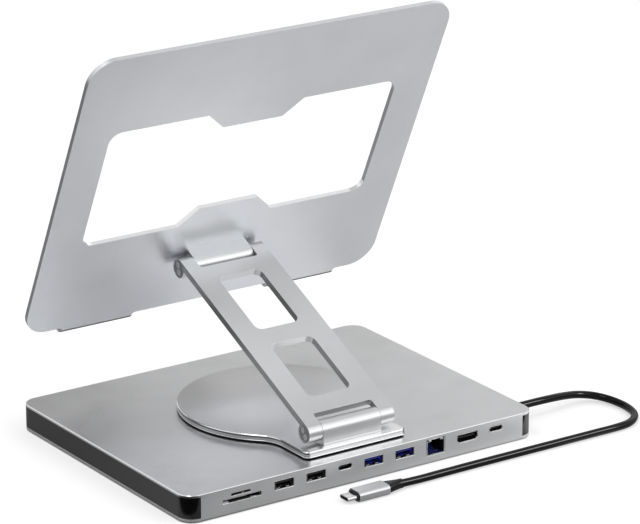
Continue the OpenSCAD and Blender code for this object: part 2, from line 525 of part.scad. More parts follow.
module lip_pads() color([0.13,0.13,0.14]) at_plate() for (s = [-1,1]) {
  y0 = plate_off + plate_t; z = lip_zc - lip_ro + plate_t;
  along_x(min(s*(lip_x0 + 2), s*(lip_x1 - 2)), max(s*(lip_x0 + 2), s*(lip_x1 - 2))) {
    translate([y0 + 1.2, z]) square([lip_depth - 2.4, 1]);
    translate([y0 + lip_depth - 1, z + 1.2]) square([1, lip_up - 1.6]);
  }
}

hub_shell();
hub_bottom();
end_cap_left();
end_cap_right();
cap_screws();
feet();
bottom_screws();
mainboard();
cord_header();
board_chips();
board_screws();
usb_a_shells();
usb_a_tongues_black();
usb_a_tongues_blue();
usb_a_contacts();
usb_c_shells();
usb_c_tongues();
hdmi_shell();
hdmi_tongue();
ethernet_shell();
ethernet_insert();
ethernet_contacts();
card_reader();
card_reader_cover();
cord_gland();
cord();
plug_relief();
plug_shell();
plug_insert();
plug_tip();
plug_tongue();
pivot_bushing();
pivot_bolt();
pivot_washer();
pivot_nut();
slip_ring();
turntable();
lower_bracket();
lower_bracket_screws();
lower_bushings();
lower_pins();
arm();
barrel_caps();
barrel_cap_screws();
upper_pins();
upper_bushings();
upper_bracket();
upper_bracket_screws();
holder_plate();
plate_pads();
lip_pads();
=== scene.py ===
# Looks of the docking station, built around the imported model. All lengths in metres.
import math

import bmesh
import bpy
from mathutils import Matrix, Vector


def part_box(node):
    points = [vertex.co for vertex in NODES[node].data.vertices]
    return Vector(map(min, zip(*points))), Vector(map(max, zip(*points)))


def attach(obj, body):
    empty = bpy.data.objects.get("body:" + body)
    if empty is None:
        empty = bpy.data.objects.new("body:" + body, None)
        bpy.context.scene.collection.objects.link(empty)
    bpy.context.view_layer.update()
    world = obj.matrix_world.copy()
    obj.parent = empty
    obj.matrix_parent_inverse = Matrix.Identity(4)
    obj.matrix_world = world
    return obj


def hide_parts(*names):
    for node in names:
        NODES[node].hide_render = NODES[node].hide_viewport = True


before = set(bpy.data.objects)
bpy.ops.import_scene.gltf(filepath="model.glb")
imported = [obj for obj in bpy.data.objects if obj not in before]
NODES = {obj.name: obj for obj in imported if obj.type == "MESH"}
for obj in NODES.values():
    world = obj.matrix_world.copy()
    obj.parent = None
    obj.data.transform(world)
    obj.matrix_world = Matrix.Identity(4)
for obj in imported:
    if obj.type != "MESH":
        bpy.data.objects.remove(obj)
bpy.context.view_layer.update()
MM = 0.001
hub_low, hub_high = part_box("hub_shell")
BY = (hub_low.y + hub_high.y) / 2          # hub centre in Y
YW = hub_low.y                             # outer face of the port wall
scene = bpy.context.scene


# ---------------------------------------------------------------- camera
def make_camera():
    az, el, roll = math.radians(-33.930), math.radians(18.710), math.radians(-0.231)
    back = Vector((math.sin(az) * math.cos(el), -math.cos(az) * math.cos(el), math.sin(el)))
    right = (-back).cross(Vector((0, 0, 1))).normalized()
    up = right.cross(-back)
    r2 = math.cos(roll) * right + math.sin(roll) * up
    u2 = -math.sin(roll) * right + math.cos(roll) * up
    data = bpy.data.cameras.new("camera")
    cam = bpy.data.objects.new("camera", data)
    scene.collection.objects.link(cam)
    data.sensor_width = 36
    data.lens = 3853.44 * 36 / 640
    data.clip_start, data.clip_end = 0.05, 50
    m = Matrix.Identity(4)
    for i in range(3):
        m[i][0], m[i][1], m[i][2] = r2[i], u2[i], back[i]
    m[0][3], m[1][3], m[2][3] = -1.154385, -1.761887 + BY, 0.818172
    cam.matrix_world = m
    scene.camera = cam


make_camera()


# ---------------------------------------------------------------- materials
class Mat:
    """A Principled material with object coordinates in millimetres."""

    def __init__(self, name, color, rough, metallic=0.0, **sockets):
        self.m = bpy.data.materials.new(name)
        self.m.use_nodes = True
        self.t = self.m.node_tree
        self.b = self.t.nodes["Principled BSDF"]
        self.b.inputs["Base Color"].default_value = (*color, 1)
        self.b.inputs["Roughness"].default_value = rough
        self.b.inputs["Metallic"].default_value = metallic
        for k, v in sockets.items():
            self.b.inputs[k].default_value = v
        co = self.t.nodes.new("ShaderNodeTexCoord")
        mp = self.t.nodes.new("ShaderNodeMapping")
        mp.inputs["Scale"].default_value = (1000, 1000, 1000)
        self.t.links.new(co.outputs["Object"], mp.inputs["Vector"])
        self.vec = mp.outputs["Vector"]
        self.color, self.rough = color, rough

    def noise(self, size_mm, detail=3.0, rough=0.5, stretch=None, distort=0.0):
        v = self.vec
        if stretch:
            mp = self.t.nodes.new("ShaderNodeMapping")
            mp.inputs["Scale"].default_value = stretch
            self.t.links.new(v, mp.inputs["Vector"])
            v = mp.outputs["Vector"]
        n = self.t.nodes.new("ShaderNodeTexNoise")
        n.inputs["Scale"].default_value = 1.0 / size_mm
        n.inputs["Detail"].default_value = detail
        n.inputs["Roughness"].default_value = rough
        n.inputs["Distortion"].default_value = distort
        self.t.links.new(v, n.inputs["Vector"])
        return n.outputs["Fac"]

    def ramp(self, fac, lo, hi, a=0.3, b=0.7):
        r = self.t.nodes.new("ShaderNodeMapRange")
        r.inputs["From Min"].default_value, r.inputs["From Max"].default_value = a, b
        r.inputs["To Min"].default_value, r.inputs["To Max"].default_value = lo, hi
        self.t.links.new(fac, r.inputs["Value"])
        return r.outputs["Result"]

    def add(self, x, y, op="ADD"):
        n = self.t.nodes.new("ShaderNodeMath")
        n.operation = op
        for i, v in enumerate((x, y)):
            if isinstance(v, (int, float)):
                n.inputs[i].default_value = v
            else:
                self.t.links.new(v, n.inputs[i])
        return n.outputs[0]

    def roughness(self, out):
        self.t.links.new(out, self.b.inputs["Roughness"])
        return self

    def tint(self, fac, c0, c1):
        mix = self.t.nodes.new("ShaderNodeMix")
        mix.data_type = "RGBA"
        mix.inputs["A"].default_value = (*c0, 1)
        mix.inputs["B"].default_value = (*c1, 1)
        self.t.links.new(fac, mix.inputs["Factor"])
        self.t.links.new(mix.outputs["Result"], self.b.inputs["Base Color"])
        return self

    def bump(self, height, strength, depth_mm):
        n = self.t.nodes.new("ShaderNodeBump")
        n.inputs["Strength"].default_value = strength
        n.inputs["Distance"].default_value = depth_mm * MM
        self.t.links.new(height, n.inputs["Height"])
        self.t.links.new(n.outputs["Normal"], self.b.inputs["Normal"])
        return self


def shade(c, k):
    return tuple(min(1.0, x * k) for x in c)


def blasted(name, color, rough, grain=0.22, depth=0.012, strength=0.35, tone=0.035):
    """Bead-blasted, anodised aluminium: a fine even grain, and faint clouding of tone and gloss."""
    m = Mat(name, color, rough, 1.0)
    cloud = m.noise(38, 2.5)
    fine = m.noise(grain, 2.0, 0.6)
    m.tint(m.ramp(cloud, 0, 1), shade(color, 1 - tone), shade(color, 1 + tone))
    m.roughness(m.add(m.ramp(cloud, rough - 0.02, rough + 0.02), m.ramp(fine, -0.025, 0.025)))
    return m.bump(fine, strength, depth)


def brushed(name, color, rough, along, depth=0.01, strength=0.3):
    """Drawn or turned metal: fine lines along one axis."""
    m = Mat(name, color, rough, 1.0)
    s = {"x": (0.03, 1, 1), "y": (1, 0.03, 1), "z": (1, 1, 0.03)}[along]
    lines = m.noise(0.16, 3.0, 0.6, stretch=s)
    cloud = m.noise(9, 2.0)
    m.tint(m.ramp(lines, 0, 1), shade(color, 0.93), shade(color, 1.05))
    m.roughness(m.add(m.ramp(lines, rough - 0.05, rough + 0.05), m.ramp(cloud, -0.02, 0.02)))
    return m.bump(lines, strength, depth)


def moulded(name, color, rough, grain=0.35, depth=0.02, strength=0.3, tone=0.12, **sockets):
    """Moulded polymer or rubber: spark-eroded grain and faint tone changes."""
    m = Mat(name, color, rough, 0.0, **sockets)
    fine = m.noise(grain, 2.5, 0.6)
    cloud = m.noise(14, 2.0)
    m.tint(m.ramp(cloud, 0, 1), shade(color, 1 - tone), shade(color, 1 + tone))
    m.roughness(m.add(m.ramp(fine, rough - 0.05, rough + 0.05), m.ramp(cloud, -0.03, 0.03)))
    return m.bump(fine, strength, depth)


HUB = (0.895, 0.900, 0.910)
M = {
    "hub": blasted("hub_aluminium", HUB, 0.30),
    "bottom": blasted("bottom_aluminium", HUB, 0.36),
    "table": blasted("turntable_aluminium", (0.970, 0.973, 0.984), 0.31),
    "plate": blasted("plate_aluminium", (0.764, 0.776, 0.802), 0.40, grain=0.26),
    "arm": blasted("arm_aluminium", (0.645, 0.652, 0.657), 0.34),
    # painted shade: a darker copy of the arm's aluminium, for its flanks
    "arm_flank_shade": blasted("arm_flank_painted_shade", (0.30, 0.303, 0.306), 0.30),
    "bracket": blasted("bracket_aluminium", (0.672, 0.680, 0.686), 0.36, grain=0.18, depth=0.008),
    "cap": moulded("end_cap_plastic", (0.0025, 0.0025, 0.0026), 0.16, grain=0.5, strength=0.04, IOR=1.72),
    "foot": moulded("foot_rubber", (0.018, 0.018, 0.018), 0.75, grain=0.3, strength=0.5),
    "barrel_cap": blasted("cap_anodised", (0.24, 0.242, 0.248), 0.38),
    "cut": brushed("cut_edge", (0.93, 0.935, 0.945), 0.14, "x", depth=0.001, strength=0.10),
    # satin port wall, its colour also darker than the hub's as painted shade
    "wall": blasted("port_wall_satin_painted_shade", (0.79, 0.796, 0.805), 0.46),
    # painted shade: darker copies of the turntable's aluminium for its side and its groove
    "side": blasted("turntable_side_painted_shade", (0.40, 0.403, 0.41), 0.24, grain=0.18, depth=0.004, strength=0.2),
    "side_dark": blasted("turntable_groove_painted_shade", (0.11, 0.112, 0.115), 0.26, grain=0.18, depth=0.004, strength=0.2),
    # painted light: a lighter copy of the turntable's side colour, for the tongue's front faces
    "side_front": blasted("tongue_front_painted_light", (0.565, 0.57, 0.578), 0.30, grain=0.18, depth=0.004, strength=0.2),
    # painted shade: a darker colour for the holder plate's rounded edges
    "plate_edge_shade": brushed("plate_edge_painted_shade", (0.40, 0.405, 0.415), 0.22, "x", depth=0.001, strength=0.10),
    # painted shade: a dark colour for the downward faces of the plate's lips
    "lip_underside_painted_shade": moulded("lip_underside_painted_shade", (0.030, 0.030, 0.031), 0.45, grain=0.25, strength=0.2),
    # painted shadow: a flat black for the turntable's underside and the ring below it
    "shadow": moulded("painted_shadow_black", (0.002, 0.002, 0.002), 0.95, grain=0.3, strength=0.1, IOR=1.1),
    "groove": moulded("side_groove", (0.020, 0.020, 0.021), 0.5, grain=0.3),
    "steel": brushed("steel_hardware", (0.56, 0.56, 0.57), 0.28, "z"),
    "cap_screw": brushed("cap_screw_steel", (0.50, 0.50, 0.51), 0.25, "x"),
    "socket": brushed("socket_shell", (0.70, 0.70, 0.71), 0.24, "y"),
    "black": moulded("socket_black", (0.010, 0.010, 0.011), 0.34, grain=0.15, strength=0.2),
    "blue": moulded("socket_blue", (0.009, 0.018, 0.20), 0.42, grain=0.15, strength=0.2),
    # painted light: a brighter blue than the tongue's, lifting the shaded cavity of the USB 3 sockets
    "blue_in": moulded("socket_blue_liner_painted_light", (0.012, 0.026, 0.38), 0.45, grain=0.15, strength=0.2),
    "navy": moulded("socket_navy", (0.007, 0.015, 0.10), 0.40, grain=0.15, strength=0.2),
    "gold": brushed("gold_contact", (0.80, 0.58, 0.24), 0.25, "y"),
    "relief": moulded("relief_rubber", (0.003, 0.003, 0.0033), 0.24, grain=0.4, strength=0.2, IOR=1.30),
    "cord": moulded("cord_jacket", (0.0012, 0.0012, 0.0013), 0.08, grain=0.5, strength=0.03, IOR=1.29),
    "plug": blasted("plug_aluminium", (0.60, 0.607, 0.617), 0.30, grain=0.15),
    "plug_black": moulded("plug_black", (0.010, 0.010, 0.010), 0.28, grain=0.2, strength=0.1),
    "plug_steel": brushed("plug_steel", (0.72, 0.72, 0.73), 0.20, "x"),
    "polymer": moulded("bearing_polymer", (0.020, 0.020, 0.021), 0.45, grain=0.3),
    "bronze": brushed("bronze", (0.58, 0.40, 0.18), 0.35, "x"),
    "pad": moulded("pad_silicone", (0.030, 0.030, 0.031), 0.62, grain=0.25, strength=0.4),
    "board": moulded("circuit_board", (0.010, 0.070, 0.030), 0.40, grain=1.2, strength=0.2),
    "chip": moulded("chip_plastic", (0.015, 0.015, 0.016), 0.55, grain=0.1),
    "header": moulded("header_plastic", (0.65, 0.64, 0.58), 0.45, grain=0.3),
}
NODE_LOOK = {
    "hub_shell": "hub", "hub_bottom": "bottom", "end_cap_left": "cap", "end_cap_right": "cap", "cap_screws": "steel",
    "feet": "foot", "bottom_screws": "steel", "mainboard": "board", "cord_header": "header", "board_chips": "chip",
    "board_screws": "steel", "usb_a_shells": "socket", "usb_a_tongues_black": "black", "usb_a_tongues_blue": "blue",
    "usb_a_contacts": "gold", "usb_c_shells": "socket", "usb_c_tongues": "black", "hdmi_shell": "socket",
    "hdmi_tongue": "black", "ethernet_shell": "socket", "ethernet_insert": "navy", "ethernet_contacts": "gold",
    "card_reader": "black", "card_reader_cover": "socket", "cord_gland": "relief", "cord": "cord",
    "plug_relief": "relief", "plug_shell": "plug", "plug_insert": "plug_black", "plug_tip": "plug_steel",
    "plug_tongue": "plug_black", "pivot_bushing": "polymer", "pivot_bolt": "steel", "pivot_washer": "steel",
    "pivot_nut": "steel", "slip_ring": "polymer", "turntable": "table", "lower_bracket": "bracket",
    "lower_bracket_screws": "steel", "lower_bushings": "bronze", "lower_pins": "steel", "arm": "arm",
    "barrel_caps": "barrel_cap", "barrel_cap_screws": "cap_screw", "upper_pins": "steel", "upper_bushings": "bronze",
    "upper_bracket": "bracket", "upper_bracket_screws": "steel", "holder_plate": "plate", "plate_pads": "pad",
    "lip_pads": "pad",
}
for n, o in NODES.items():
    o.data.materials.clear()
    o.data.materials.append(M[NODE_LOOK[n]].m)


# ---------------------------------------------------------------- edges of the CAD parts
CUT_EDGES = {"arm", "holder_plate", "lower_bracket", "upper_bracket", "plug_shell"}


HOLED = {"ethernet_insert", "hdmi_shell", "plug_shell", "end_cap_left", "end_cap_right"}


def ease(node, width_mm, segments=2, angle=32):
    """Rounds a CAD node's real edges with modifiers only; cut edges are brighter than the blasted faces, except on the
    holder plate, where they are darker as painted shade.
    """
    o = NODES[node]
    if node in CUT_EDGES:
        o.data.materials.append(M["plate_edge_shade" if node == "holder_plate" else "cut"].m)
    w = o.modifiers.new("weld", "WELD")
    w.merge_threshold = 2e-6
    if node not in HOLED:
        d = o.modifiers.new("flat", "DECIMATE")
        d.decimate_type = "DISSOLVE"
        d.angle_limit = math.radians(0.4)
    b = o.modifiers.new("edge", "BEVEL")
    b.width = width_mm * MM
    b.segments = segments
    b.limit_method = "ANGLE"
    b.angle_limit = math.radians(angle)
    b.use_clamp_overlap = True
    b.harden_normals = True
    b.miter_outer = "MITER_ARC"
    if node in CUT_EDGES:
        b.material = 1
    even = o.modifiers.new("even", "WEIGHTED_NORMAL")
    even.mode = "FACE_AREA"
    even.keep_sharp = True


for n, w, k in (
    ("hub_bottom", 0.20, 2), ("end_cap_left", 0.12, 2), ("end_cap_right", 0.12, 2),
    ("lower_bracket", 0.07, 2), ("upper_bracket", 0.20, 2), ("arm", 0.26, 2),
    ("barrel_caps", 0.20, 2), ("barrel_cap_screws", 0.10, 2), ("holder_plate", 0.34, 2), ("plate_pads", 0.35, 3),
    ("lip_pads", 0.20, 2), ("feet", 0.25, 2), ("plug_shell", 0.35, 3), ("plug_insert", 0.30, 3), ("plug_tip", 0.12, 2),
    ("plug_tongue", 0.10, 2), ("cord_gland", 0.25, 2), ("usb_a_shells", 0.08, 2), ("usb_a_tongues_black", 0.15, 2),
    ("usb_a_tongues_blue", 0.15, 2), ("usb_c_shells", 0.08, 2), ("usb_c_tongues", 0.10, 2), ("hdmi_shell", 0.08, 2),
    ("hdmi_tongue", 0.15, 2), ("ethernet_shell", 0.08, 2), ("ethernet_insert", 0.12, 2), ("card_reader", 0.10, 2),
    ("upper_bracket_screws", 0.10, 2), ("bottom_screws", 0.10, 2), ("lower_bracket_screws", 0.10, 2), ("slip_ring", 0.1, 2),
):
    ease(n, w, k)


# painted shade: the arm's flanks get a darker copy of its aluminium
arm = NODES["arm"]
arm.data.materials.append(M["arm_flank_shade"].m)
for f in arm.data.polygons:
    if abs((arm.matrix_world.to_3x3() @ f.normal).normalized().x) > 0.9:
        f.material_index = 2

# painted shade: the downward faces of the two lips' bends are darkened
plate = NODES["holder_plate"]
plate.data.materials.append(M["lip_underside_painted_shade"].m)
lip_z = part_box("holder_plate")[0].z
for f in plate.data.polygons:
    c, nz = plate.matrix_world @ f.center, (plate.matrix_world.to_3x3() @ f.normal).normalized().z
    if c.z < lip_z + 8 * MM and 47.6 * MM < abs(c.x) < 95.8 * MM and nz < -0.60:
        f.material_index = 2

# painted light: only the upward-facing walls of the plate's opening get the bright polished cut finish
plate.data.materials.append(M["cut"].m)
p_low, p_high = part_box("holder_plate")
face = max(plate.data.polygons, key=lambda f: f.area)
across = (plate.matrix_world.to_3x3() @ face.normal).normalized()
for f in plate.data.polygons:
    c, n = plate.matrix_world @ f.center, (plate.matrix_world.to_3x3() @ f.normal).normalized()
    if abs(n.dot(across)) < 0.2 and n.z > 0.3 and abs(c.x) < 100 * MM and p_low.z + 25 * MM < c.z < p_high.z - 25 * MM:
        f.material_index = 3

# right wall of the network socket: in shade
insert = NODES["ethernet_insert"]
insert.data.materials.append(M["black"].m)
for f in insert.data.polygons:
    if (insert.matrix_world.to_3x3() @ f.normal).normalized().x < -0.5:
        f.material_index = 1


# ---------------------------------------------------------------- cord
ROUTE_MM = [
    (119.4, -65, 8.7), (124, -65, 8.7), (131, -65, 8.7), (140, -65, 8.7), (148, -64.8, 8.5), (156, -64, 7.9),
    (164, -62.8, 6.9), (172, -62.2, 5.7), (178.4, -63.6, 4.7), (183.4, -66.7, 3.9), (187.15, -71.7, 3.2), (189.3, -78.4, 2.8),
    (190.1, -87, 2.45), (188.7, -95.4, 2.32), (185.6, -102, 2.32), (180.2, -107.4, 2.32), (173, -110.9, 2.32), (163, -112, 2.32),
    (150, -112, 2.32), (130, -112, 2.32), (105, -112, 2.32), (80, -112, 2.32), (55, -112.1, 2.32), (36, -112.4, 2.33),
    (24, -112.8, 2.45), (14, -113.2, 2.8), (6, -113.3, 3.1), (2, -113.3, 3.1),
]


def along(p, m):
    """The smooth line through the route points, m steps to a span, for its length."""
    out, n = [], len(p)
    for i in range(n - 1):
        a, b, c, d = (p[min(max(j, 0), n - 1)] for j in (i - 1, i, i + 1, i + 2))
        for k in range(m):
            t = k / m
            out.append(0.5 * (2 * b + (c - a) * t + (2 * a - 5 * b + 4 * c - d) * t * t + (3 * b - a - 3 * c + d) * t ** 3))
    return out + [p[-1]]


knots = [Vector((x, y + BY / MM, z)) * MM for x, y, z in ROUTE_MM if x > 118 or y < -100]
line = along(knots, 8)
curve = bpy.data.curves.new("cord_line", "CURVE")
curve.dimensions = "3D"
curve.resolution_u = 8
sp = curve.splines.new("BEZIER")
sp.bezier_points.add(len(knots) - 1)
for i, q in enumerate(sp.bezier_points):
    step = (knots[min(i + 1, len(knots) - 1)] - knots[max(i - 1, 0)]) / 6
    q.handle_left_type = q.handle_right_type = "FREE"
    q.co, q.handle_left, q.handle_right = knots[i], knots[i] - step, knots[i] + step
curve.bevel_depth = 2.3 * MM
curve.bevel_resolution = 6
curve.use_fill_caps = True
curve.materials.append(M["cord"].m)
cord = bpy.data.objects.new("cord_jacket_tube", curve)
scene.collection.objects.link(cord)
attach(cord, "base")
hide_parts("cord")


# ---------------------------------------------------------------- mesh helpers
def add_mesh(name, bm, look, body, smooth=40, recalc=True):
    me = bpy.data.meshes.new(name)
    if recalc:
        bmesh.ops.recalc_face_normals(bm, faces=bm.faces)
    bm.to_mesh(me)
    bm.free()
    o = bpy.data.objects.new(name, me)
    scene.collection.objects.link(o)
    me.materials.append(M[look].m)
    for f in me.polygons:
        f.use_smooth = True
    me.set_sharp_from_angle(angle=math.radians(smooth))
    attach(o, body)
    return o


def superellipse(w, h, r, n=10):
    """Rounded rectangle outline, w by h with corner radius r, counter-clockwise."""
    pts = []
    for cx, cy, a0 in ((w / 2 - r, h / 2 - r, 0), (-w / 2 + r, h / 2 - r, 90), (-w / 2 + r, -h / 2 + r, 180), (w / 2 - r, -h / 2 + r, 270)):
        for k in range(n + 1):
            a = math.radians(a0 + 90 * k / n)
            pts.append((cx + r * math.cos(a), cy + r * math.sin(a)))
    return pts


def loft(bm, rings, cap0=True, cap1=True):
    """Skins a list of rings of equal length."""
    vs = [[bm.verts.new(p) for p in ring] for ring in rings]
    for a, b in zip(vs, vs[1:]):
        n = len(a)
        for i in range(n):
            bm.faces.new((a[i], a[(i + 1) % n], b[(i + 1) % n], b[i]))
    if cap0:
        bm.faces.new(vs[0])
    if cap1:
        bm.faces.new(list(reversed(vs[-1])))
    return vs


CUT = 0.44, 0.21                           # width of the diamond cut at the ends and along the long sides, mm


# hub shell: a copy of the CAD part with a diamond-cut outer edge and a satin port wall whose colour is darkened as
# painted shade
def hub_shell_finish():
    b = bmesh.new()
    b.from_mesh(NODES["hub_shell"].data)
    b.transform(NODES["hub_shell"].matrix_world)
    bmesh.ops.remove_doubles(b, verts=b.verts, dist=2e-6)
    # the port wall's faces take the satin wall material, darker as painted shade
    for f in b.faces:
        f.material_index = 2 if f.normal.y < -0.9 and f.calc_center_median().y < YW + 0.05 * MM else 0
    top = hub_high.z

    def outer_top(e):
        if len(e.link_faces) != 2 or any(v.co.z < top - 0.01 * MM for v in e.verts):
            return False
        z = sorted(abs(f.normal.z) for f in e.link_faces)
        m = (e.verts[0].co + e.verts[1].co) / 2
        return z[1] > 0.9 and z[0] < 0.5 and (abs(m.x) > 100 * MM or abs(m.y - BY) > 80 * MM)

    def wall_mouth(e):
        return len(e.link_faces) == 2 and all(v.co.y < YW + 0.01 * MM and v.co.z < top - 0.6 * MM for v in e.verts) and \
            e.calc_face_angle(0) > math.radians(32)

    edges = [e for e in b.edges if outer_top(e)]
    bmesh.ops.bevel(b, geom=edges, offset=0.09 * MM, segments=1, profile=0.5, affect="EDGES", clamp_overlap=True, material=1)
    for v in b.verts:                      # the narrow bevel is opened out to the full width of the cut
        x, y = v.co.x, v.co.y - BY
        out = Vector((x - max(-110.6 * MM, min(110.6 * MM, x)), y - max(-82.4 * MM, min(82.4 * MM, y))))
        if out.length < 9.15 * MM:
            continue
        width = CUT[1] + (CUT[0] - CUT[1]) * abs(out.normalized().x)
        if v.co.z > top - 0.01 * MM:
            v.co.xy -= out.normalized() * (width - 0.09) * MM
        elif v.co.z > top - 0.15 * MM:
            v.co.z = top - width * MM
    edges = [e for e in b.edges if wall_mouth(e)]
    bmesh.ops.bevel(b, geom=edges, offset=0.09 * MM, segments=1, profile=0.5, affect="EDGES", clamp_overlap=True, material=1)
    b.verts.index_update()
    clean = bmesh.new()                    # positions and materials only, so that shading follows the new faces
    vs = [clean.verts.new(v.co) for v in b.verts]
    for f in b.faces:
        g = clean.faces.new([vs[v.index] for v in f.verts])
        g.material_index = f.material_index
    b.free()
    o = add_mesh("hub_shell_finished", clean, "hub", "base", 38, recalc=False)
    o.data.materials.append(M["cut"].m)
    o.data.materials.append(M["wall"].m)
    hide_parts("hub_shell")


hub_shell_finish()


# turntable: the same outline as the CAD part, with its diamond-cut chamfer, side groove and lower edge; its side,
# groove and underside carry painted shade
def outline_at(node, z, tol=2e-5):
    """The outer loop of a CAD node at height z, in order, counter-clockwise."""
    b = bmesh.new()
    b.from_mesh(NODES[node].data)
    b.transform(NODES[node].matrix_world)
    bmesh.ops.remove_doubles(b, verts=b.verts, dist=2e-6)
    nxt = {}
    for e in b.edges:
        u, v = e.verts
        if abs(u.co.z - z) < tol and abs(v.co.z - z) < tol and len(e.link_faces) == 2:
            if abs(e.link_faces[0].normal.z) > 0.9 and abs(e.link_faces[1].normal.z) > 0.9:
                continue
            nxt.setdefault(u.index, []).append(v.index)
            nxt.setdefault(v.index, []).append(u.index)
    b.verts.ensure_lookup_table()
    loops, seen = [], set()
    for s0 in sorted(nxt):
        if s0 in seen:
            continue
        loop, cur = [s0], s0
        seen.add(s0)
        while True:
            cand = [k for k in nxt[cur] if k not in seen]
            if not cand:
                break
            cur = cand[0]
            seen.add(cur)
            loop.append(cur)
        loops.append([b.verts[i].co.xy.copy() for i in loop])
    b.free()
    loop = max(loops, key=lambda l: (max(p.x for p in l) - min(p.x for p in l)))
    area2 = sum(a.x * c.y - c.x * a.y for a, c in zip(loop, loop[1:] + loop[:1]))
    return loop if area2 > 0 else loop[::-1]


def inset(loop, d):
    """Moves every corner of a counter-clockwise loop inward by d."""
    out, n = [], len(loop)
    for i in range(n):
        a, b, c = loop[i - 1], loop[i], loop[(i + 1) % n]
        n1 = Vector((-(b - a).y, (b - a).x)).normalized()
        n2 = Vector((-(c - b).y, (c - b).x)).normalized()
        m = (n1 + n2).normalized()
        out.append(b + m * d / max(0.5, m.dot(n1)))
    return out


def resample(loop, step):
    """Adds points so that no side is longer than step."""
    out = []
    for a, b in zip(loop, loop[1:] + loop[:1]):
        k = max(1, int(math.ceil((b - a).length / step)))
        out += [a.lerp(b, i / k) for i in range(k)]
    return out


tl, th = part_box("turntable")
edge = resample(outline_at("turntable", tl.z + 1.3 * MM), 4 * MM)
bm = bmesh.new()
rings = []
for dz, ins in ((0.0, 1.70), (0.36, 1.70), (0.40, 0.30), (0.46, 0.06), (0.52, 0.0), (0.84, 0.0), (0.92, 0.14), (2.56, 0.14),
                (2.62, 0.34), (3.36, 0.34), (3.42, 0.08), (3.50, 0.02), (3.84, 0.30), (3.94, 0.42), (4.0, 0.60)):
    rings.append([(p.x, p.y, tl.z + dz * MM) for p in inset(edge, ins * MM)])
# painted shade by band: underside painted-shadow black, lower chamfer and groove walls dark, side a darker grey than
# the top; the cut bands stay polished
ring_look = (3, 3, 2, 1, 1, 1, 4, 4, 2, 2, 1, 1, 1, 1)
vs = loft(bm, rings)
bm.verts.index_update()
level = {v.index: i for i, ring in enumerate(vs) for v in ring}
bmesh.ops.recalc_face_normals(bm, faces=bm.faces)
bm.normal_update()
for f in bm.faces:
    lv = {level[v.index] for v in f.verts}
    look = ring_look[min(lv)] if len(lv) == 2 else 0
    if look in (2, 4) and min(lv) > 4 and f.normal.y < -0.97:
        look = 5                           # painted light: the tongue's front faces get a lighter copy of the side colour than the turned edge
    if min(lv) > 4 and look and f.normal.x > 0.25 and f.normal.y < -0.1 and f.calc_center_median().y < tl.y + 8 * MM:
        look = 2                           # painted shade: faces at the tongue's right front corner get the dark groove colour
    f.material_index = look
table = add_mesh("turntable_disc", bm, "table", "turntable", 20)
for look in ("cut", "side_dark", "shadow", "side", "side_front"):
    table.data.materials.append(M[look].m)
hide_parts("turntable")

def rounded_box(bm, lo, hi, r=0.0, seg=2):
    """A box in millimetres with its edges rounded by r."""
    g = bmesh.ops.create_cube(bm, size=1.0)
    c = [(a + b) / 2 for a, b in zip(lo, hi)]
    d = [b - a for a, b in zip(lo, hi)]
    for v in g["verts"]:
        v.co = Vector([(c[i] + v.co[i] * d[i]) * MM for i in range(3)])
    if r > 0:
        edges = list({e for v in g["verts"] for e in v.link_edges})
        bmesh.ops.bevel(bm, geom=edges, offset=r * MM, segments=seg, profile=0.5, affect="EDGES")


def strip(bm, line, x0, x1, thick):
    """A bent metal strip: a centre line of (y, z) in millimetres, swept from x0 to x1."""
    pts = [Vector(q) for q in line]
    left, right = [], []
    for i, q in enumerate(pts):
        d = (pts[min(i + 1, len(pts) - 1)] - pts[max(i - 1, 0)]).normalized()
        n = Vector((-d.y, d.x)) * thick / 2
        left.append(q + n)
        right.append(q - n)
    ring = left + right[::-1]
    loft(bm, [[(x * MM, q.x * MM, q.y * MM) for q in ring] for x in (x0, x1)])


def revolve_x(bm, profile, y, z, n=40):
    """A closed turned shape about the X direction: profile of (x, r) in millimetres."""
    rings = []
    for x, r in profile:
        rings.append([(x * MM, (y + r * math.cos(a)) * MM, (z + r * math.sin(a)) * MM)
                      for a in (2 * math.pi * k / n for k in range(n))])
    loft(bm, rings)


yw = YW / MM
USB_Z, PORT_A2, PORT_A3 = 10.5, (-55.4, -33.9), (5.4, 26.9)


def arc_spring(x, z0, lift, d0, d1, width, flip=1):
    """A leaf spring pressed out of a socket's wall."""
    line = [(yw + d0 + (d1 - d0) * k / 10, z0 + flip * (0.16 + lift * math.sin(math.pi * min(1, k / 10 * 1.25)) ** 1.3)) for k in range(9)]
    return line


bm = bmesh.new()
for px in PORT_A2 + PORT_A3:
    for side in (-1, 1):
        strip(bm, arc_spring(px, USB_Z - 2.5, 0.75, 1.5, 7.0, 2.0), px + side * 3.1 - 1.05, px + side * 3.1 + 1.05, 0.18)
        strip(bm, arc_spring(px, USB_Z + 2.5, 0.30, 1.0, 6.0, 2.0, -1), px + side * 3.1 - 0.9, px + side * 3.1 + 0.9, 0.12)
springs = add_mesh("socket_springs", bm, "socket", "base", 50)

